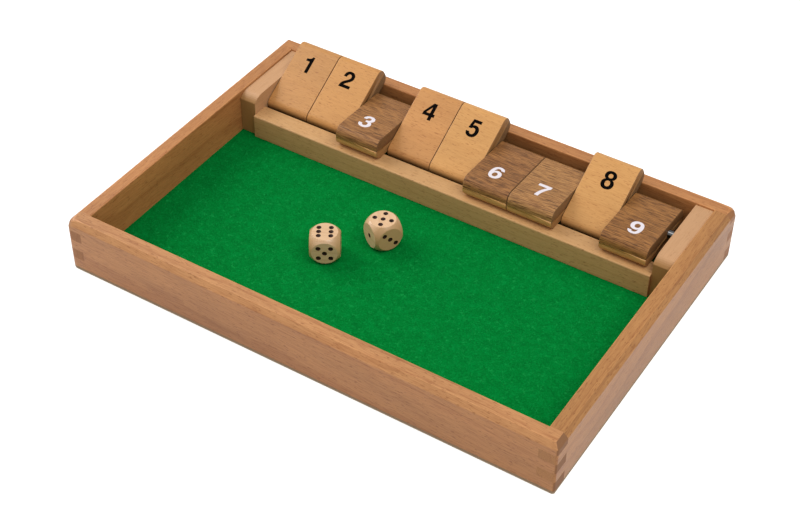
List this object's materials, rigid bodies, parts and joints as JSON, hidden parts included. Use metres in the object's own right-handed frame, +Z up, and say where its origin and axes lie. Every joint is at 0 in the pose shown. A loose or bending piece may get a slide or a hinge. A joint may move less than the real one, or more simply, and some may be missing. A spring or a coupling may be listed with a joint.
{
  "type": "shut the box game",
  "caption": "Wooden dice game tray with a felt floor, a row of numbered flaps that flip on a steel rod, and a pair of dice.",
  "frame": {"origin": "middle of the tray's underside, on the table", "axes": "+X along the row of flaps from flap 1 to flap 9, +Y from the player's side to the flaps, +Z up"},
  "size_m": [0.2834, 0.1954, 0.0426],
  "materials": {
    "beech_frame": "satin lacquered beech",
    "plywood": "raw birch plywood",
    "green_felt": "matte felt",
    "beech_rail": "satin beech",
    "beech_cheek": "satin beech",
    "steel": "bright drawn steel",
    "flap_beech": "satin lacquered beech",
    "flap_walnut": "satin walnut",
    "dice_wood": "smooth tumbled beech, black pips"
  },
  "bodies": {
    "tray": {"frame_front": "beech_frame", "frame_back": "beech_frame", "frame_left": "beech_frame", "frame_right": "beech_frame", "base_panel": "plywood", "felt": "green_felt", "front_rail": "beech_rail", "cheek_left": "beech_cheek", "cheek_right": "beech_cheek", "pivot_rod": "steel"},
    "flap_1": {"flap_1_beech": "flap_beech", "flap_1_walnut": "flap_walnut"},
    "flap_2": {"flap_2_beech": "flap_beech", "flap_2_walnut": "flap_walnut"},
    "flap_3": {"flap_3_beech": "flap_beech", "flap_3_walnut": "flap_walnut"},
    "flap_4": {"flap_4_beech": "flap_beech", "flap_4_walnut": "flap_walnut"},
    "flap_5": {"flap_5_beech": "flap_beech", "flap_5_walnut": "flap_walnut"},
    "flap_6": {"flap_6_beech": "flap_beech", "flap_6_walnut": "flap_walnut"},
    "flap_7": {"flap_7_beech": "flap_beech", "flap_7_walnut": "flap_walnut"},
    "flap_8": {"flap_8_beech": "flap_beech", "flap_8_walnut": "flap_walnut"},
    "flap_9": {"flap_9_beech": "flap_beech", "flap_9_walnut": "flap_walnut"},
    "die_left": {"die_left": "dice_wood"},
    "die_right": {"die_right": "dice_wood"}
  },
  "joints": [
    {"name": "flap_1_turn", "type": "hinge", "parent": "tray", "child": "flap_1", "pos_m": [0, 0.06571, 0.02558], "axis": [1, 0, 0], "range_deg": [0, 146.1]},
    {"name": "flap_2_turn", "type": "hinge", "parent": "tray", "child": "flap_2", "pos_m": [0, 0.06571, 0.02558], "axis": [1, 0, 0], "range_deg": [0, 146.1]},
    {"name": "flap_3_turn", "type": "hinge", "parent": "tray", "child": "flap_3", "pos_m": [0, 0.06571, 0.02558], "axis": [-1, 0, 0], "range_deg": [0, 146.1]},
    {"name": "flap_4_turn", "type": "hinge", "parent": "tray", "child": "flap_4", "pos_m": [0, 0.06571, 0.02558], "axis": [1, 0, 0], "range_deg": [0, 146.1]},
    {"name": "flap_5_turn", "type": "hinge", "parent": "tray", "child": "flap_5", "pos_m": [0, 0.06571, 0.02558], "axis": [1, 0, 0], "range_deg": [0, 146.1]},
    {"name": "flap_6_turn", "type": "hinge", "parent": "tray", "child": "flap_6", "pos_m": [0, 0.06571, 0.02558], "axis": [-1, 0, 0], "range_deg": [0, 146.1]},
    {"name": "flap_7_turn", "type": "hinge", "parent": "tray", "child": "flap_7", "pos_m": [0, 0.06571, 0.02558], "axis": [-1, 0, 0], "range_deg": [0, 146.1]},
    {"name": "flap_8_turn", "type": "hinge", "parent": "tray", "child": "flap_8", "pos_m": [0, 0.06571, 0.02558], "axis": [1, 0, 0], "range_deg": [0, 146.1]},
    {"name": "flap_9_turn", "type": "hinge", "parent": "tray", "child": "flap_9", "pos_m": [0, 0.06571, 0.02558], "axis": [-1, 0, 0], "range_deg": [0, 146.1]},
    {"name": "die_left_lift", "type": "slide", "parent": "tray", "child": "die_left", "axis": [0, 0, 1], "range_m": [0, 0.06]},
    {"name": "die_right_lift", "type": "slide", "parent": "tray", "child": "die_right", "axis": [0, 0, 1], "range_m": [0, 0.06]}
  ]
}
